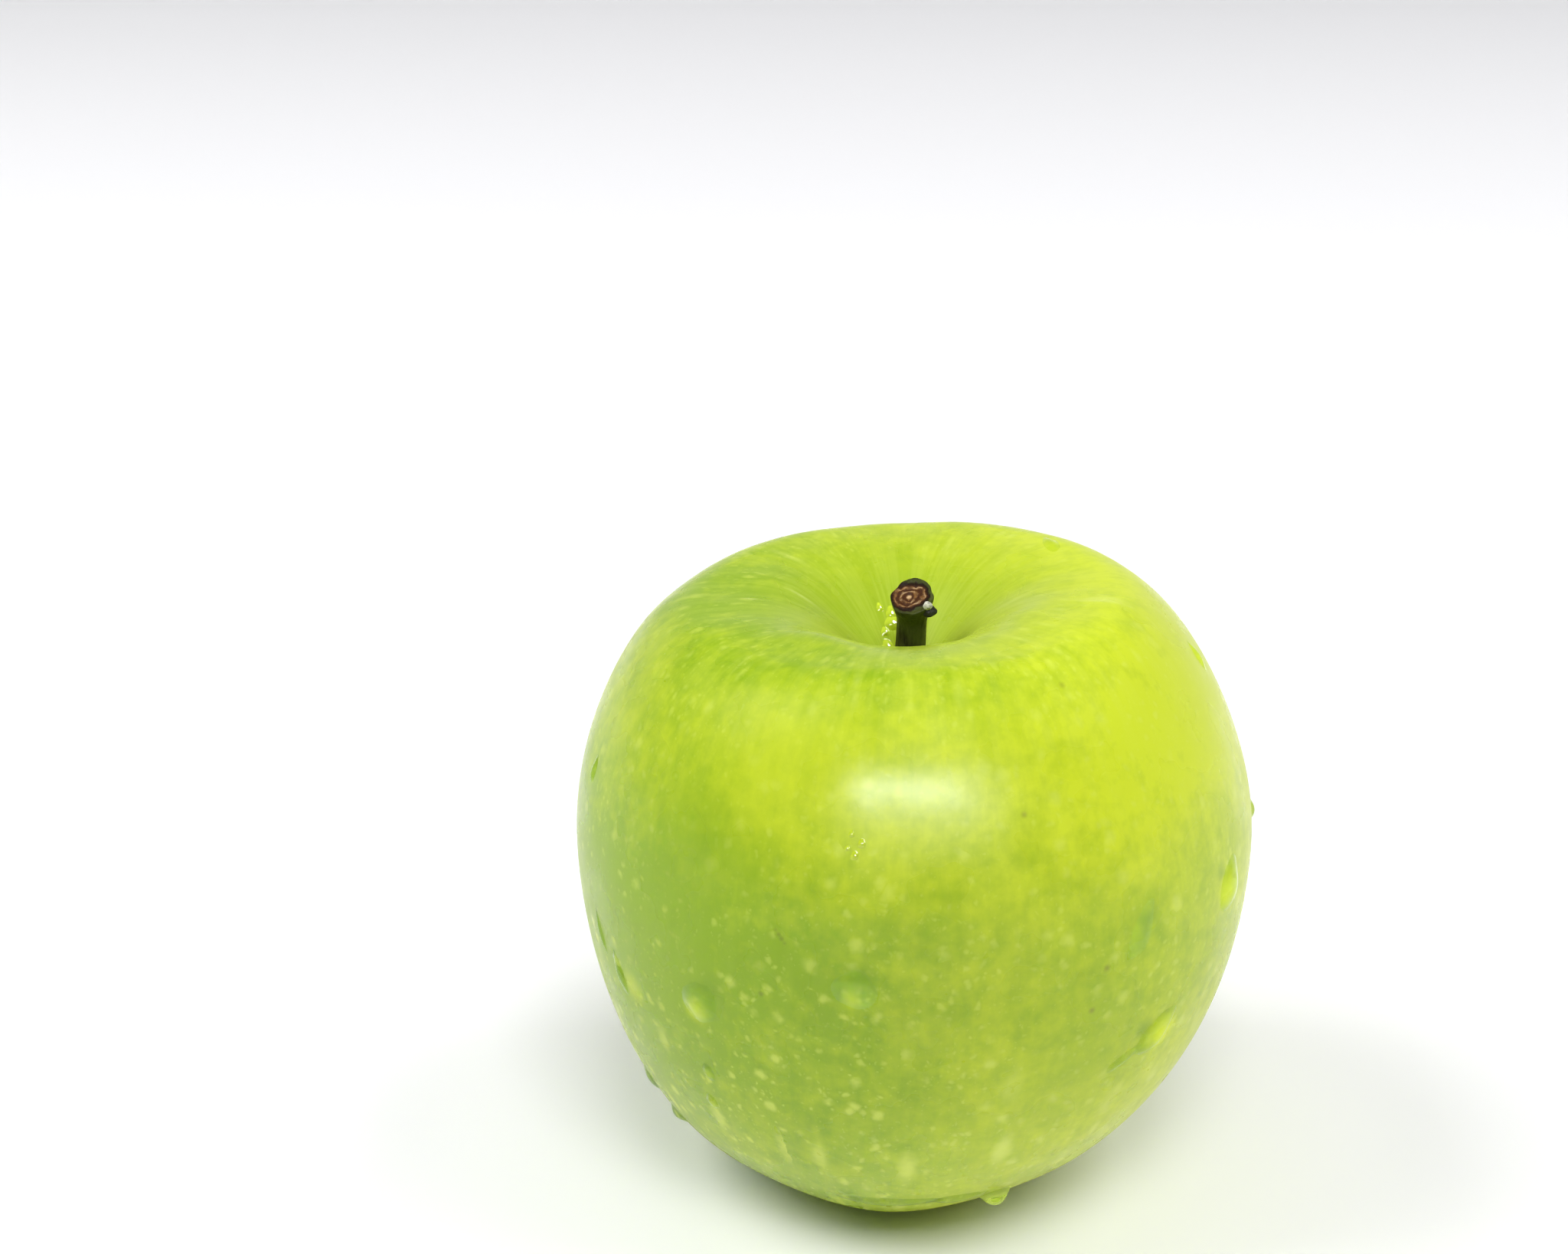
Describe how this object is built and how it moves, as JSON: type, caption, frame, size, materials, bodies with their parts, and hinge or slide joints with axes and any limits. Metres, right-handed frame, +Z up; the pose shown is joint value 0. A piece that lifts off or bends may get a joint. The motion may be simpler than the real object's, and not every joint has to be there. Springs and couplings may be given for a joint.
{
  "type": "green apple",
  "caption": "Whole green apple with lobed foot, dished stem cavity, short woody stem and dried calyx; rests upright on its foot.",
  "frame": {"origin": "on the resting surface, under the middle of the fruit's bounding box", "axes": "+Z up along the stem, +X to the higher shoulder, -Y to the side seen in the picture"},
  "size_m": [0.076, 0.076, 0.0702],
  "materials": {
    "skin": "smooth waxy yellow-green skin with fine pale dots and streaks, wet",
    "stem": "dark brown and olive bark, with a brown ringed cut end",
    "calyx": "dry, matt, grey-brown and slightly hairy"
  },
  "bodies": {
    "root": {"fruit": "skin", "stem": "stem", "calyx": "calyx"}
  },
  "joints": []
}
